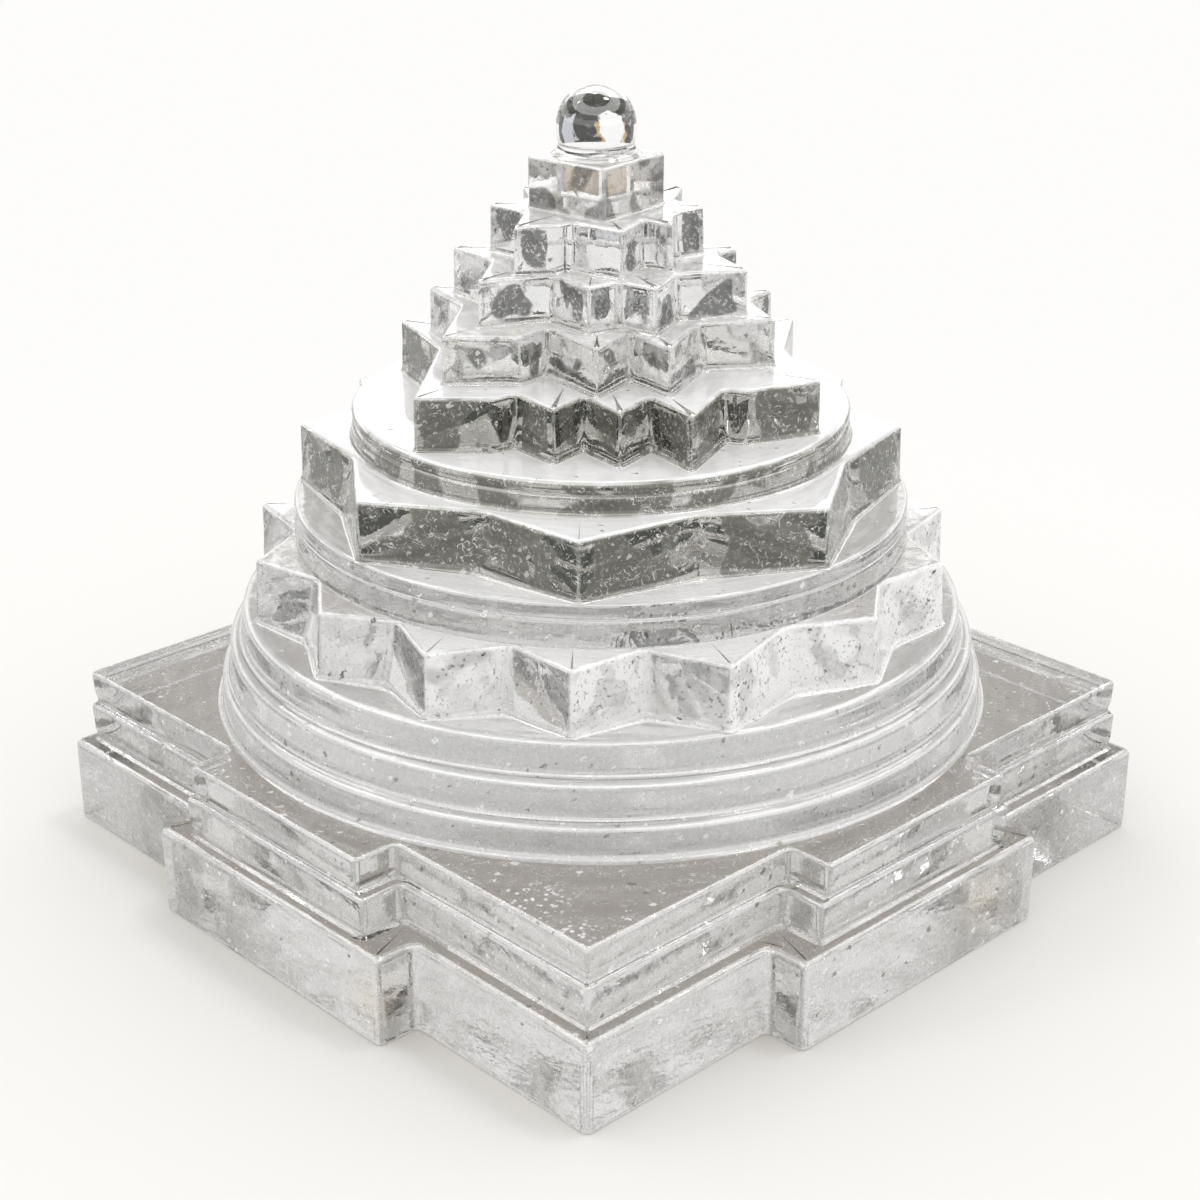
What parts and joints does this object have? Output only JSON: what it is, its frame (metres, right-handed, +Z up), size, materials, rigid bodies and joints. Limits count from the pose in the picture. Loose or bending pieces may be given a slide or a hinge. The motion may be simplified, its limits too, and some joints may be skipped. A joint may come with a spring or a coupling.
{
  "type": "shri yantra",
  "caption": "Stepped mountain-form shri yantra in clear rock crystal: gated square base, round steps, petal rings, star tiers and a ball on top.",
  "frame": {"origin": "centre of the flat underside of the square base", "axes": "+Z up through the ball; the four gates of the base face +X, -X, +Y and -Y"},
  "size_m": [0.1, 0.1, 0.0891],
  "materials": {
    "clear_quartz": "polished clear rock crystal with fine inclusions",
    "milky_quartz": "polished rock crystal with milky veils, specks and faint tan stains"
  },
  "bodies": {
    "root": {"bhupura_lower_tier": "milky_quartz", "bhupura_middle_tier": "milky_quartz", "bhupura_upper_tier": "milky_quartz", "circle_step_lower": "milky_quartz", "circle_step_middle": "milky_quartz", "circle_step_upper": "milky_quartz", "sixteen_petal_lotus": "clear_quartz", "lotus_disc_lower": "clear_quartz", "lotus_disc_upper": "clear_quartz", "eight_petal_lotus": "clear_quartz", "triangle_plinth": "clear_quartz", "star_tier_lowest": "clear_quartz", "star_tier_second": "clear_quartz", "star_tier_third": "clear_quartz", "star_tier_top": "clear_quartz", "square_cap_block": "clear_quartz", "bindu_collar": "clear_quartz", "bindu_ball": "clear_quartz"}
  },
  "joints": []
}
